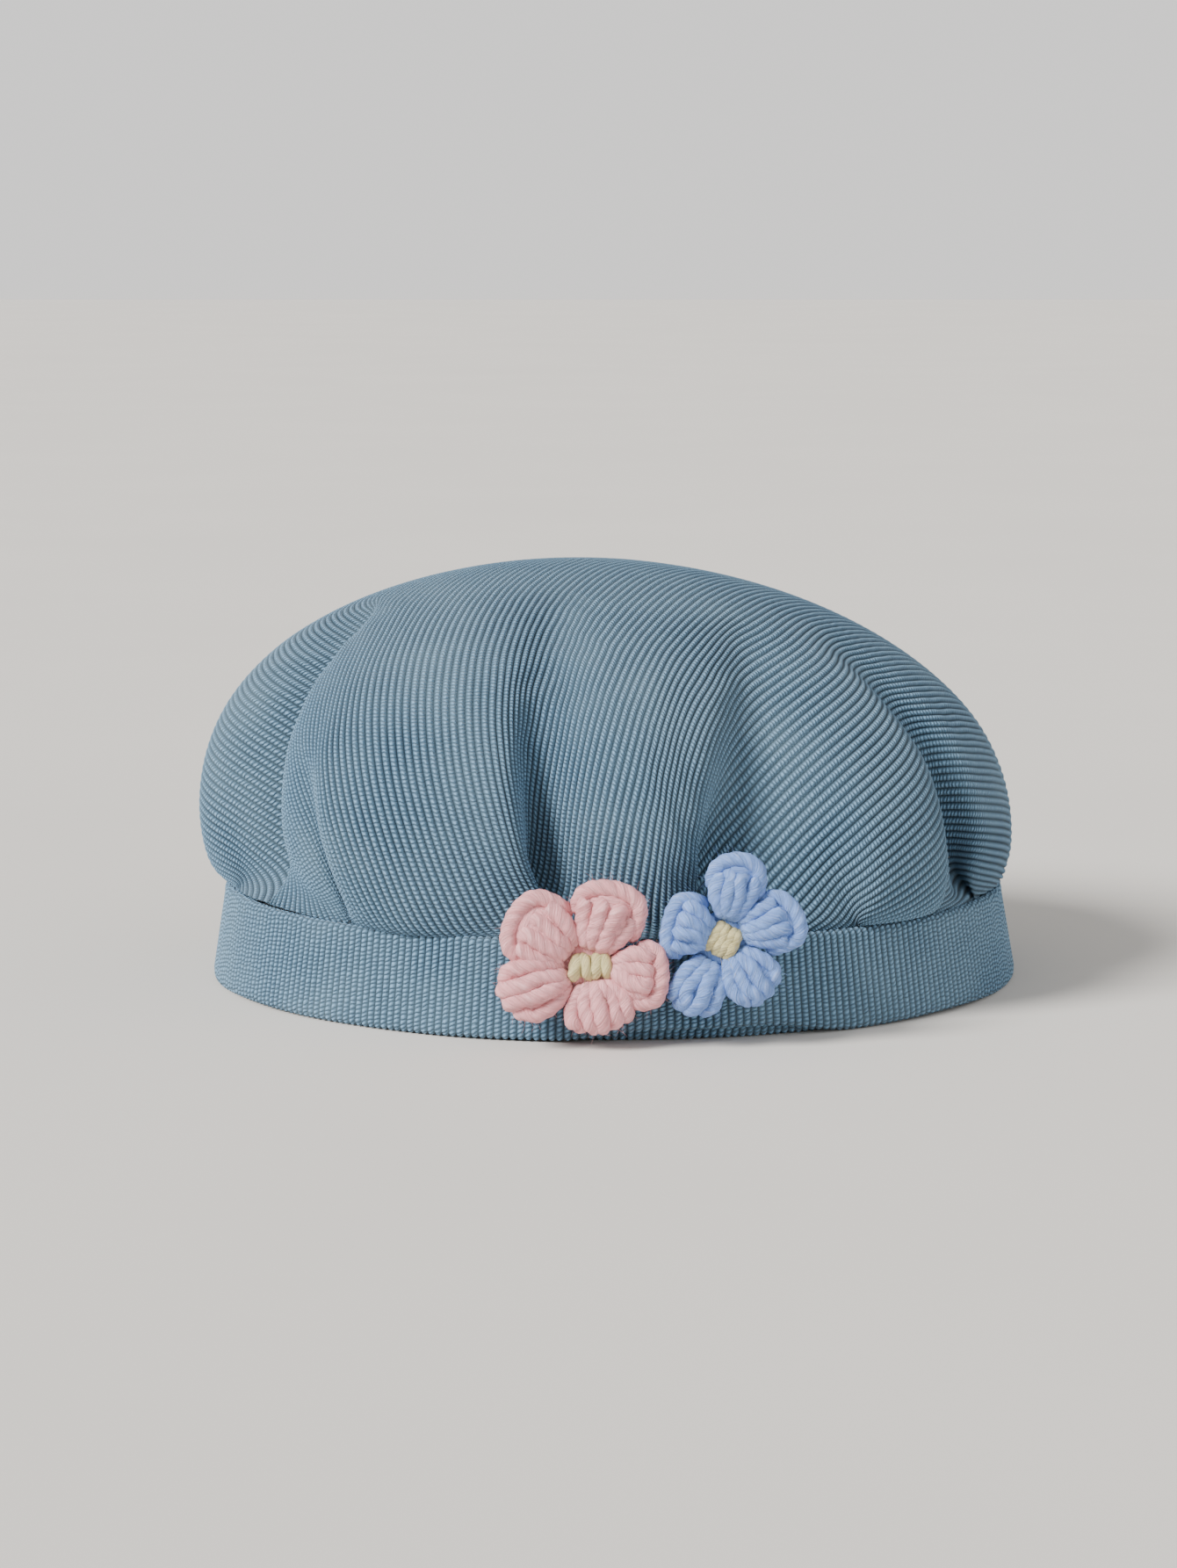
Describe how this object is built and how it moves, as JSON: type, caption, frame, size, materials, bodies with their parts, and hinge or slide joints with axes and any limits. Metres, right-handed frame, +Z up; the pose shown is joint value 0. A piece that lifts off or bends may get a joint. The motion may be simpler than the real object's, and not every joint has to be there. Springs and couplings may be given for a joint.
{
  "type": "gathered corduroy baby beret with crocheted flowers",
  "caption": "Soft ribbed beret for a newborn: a round crown gathered into an upright band, with small crocheted flowers sewn to the front of the band.",
  "frame": {"origin": "centre of the head opening, in the plane of the hem", "axes": "+Z up through the crown, -Y towards the front, where the flowers are, +X across the cap to the wearer's left"},
  "size_m": [0.1358, 0.1287, 0.068],
  "materials": {
    "corduroy": "fine vertical rib, soft, dull blue",
    "lining_cotton": "plain woven cotton, matt",
    "interfacing": "bonded fibre, matt",
    "blue_thread": "spun sewing thread",
    "pink_yarn": "soft plied yarn, slightly fuzzy",
    "blue_yarn": "soft plied yarn, slightly fuzzy",
    "yellow_yarn": "soft plied yarn, slightly fuzzy",
    "clear_thread": "fine pale sewing thread"
  },
  "bodies": {
    "root": {"band_facing": "corduroy", "band_interfacing": "interfacing", "band_outer": "corduroy", "band_seam_stitching": "blue_thread", "blue_flower_centre": "yellow_yarn", "blue_flower_tack": "clear_thread", "blue_petal_1": "blue_yarn", "blue_petal_2": "blue_yarn", "blue_petal_3": "blue_yarn", "blue_petal_4": "blue_yarn", "blue_petal_5": "blue_yarn", "crown_lining": "lining_cotton", "crown_shell": "corduroy", "gathering_thread": "blue_thread", "hem_stitching": "blue_thread", "pink_flower_centre": "yellow_yarn", "pink_flower_tack": "clear_thread", "pink_petal_1": "pink_yarn", "pink_petal_2": "pink_yarn", "pink_petal_3": "pink_yarn", "pink_petal_4": "pink_yarn", "pink_petal_5": "pink_yarn"}
  },
  "joints": []
}
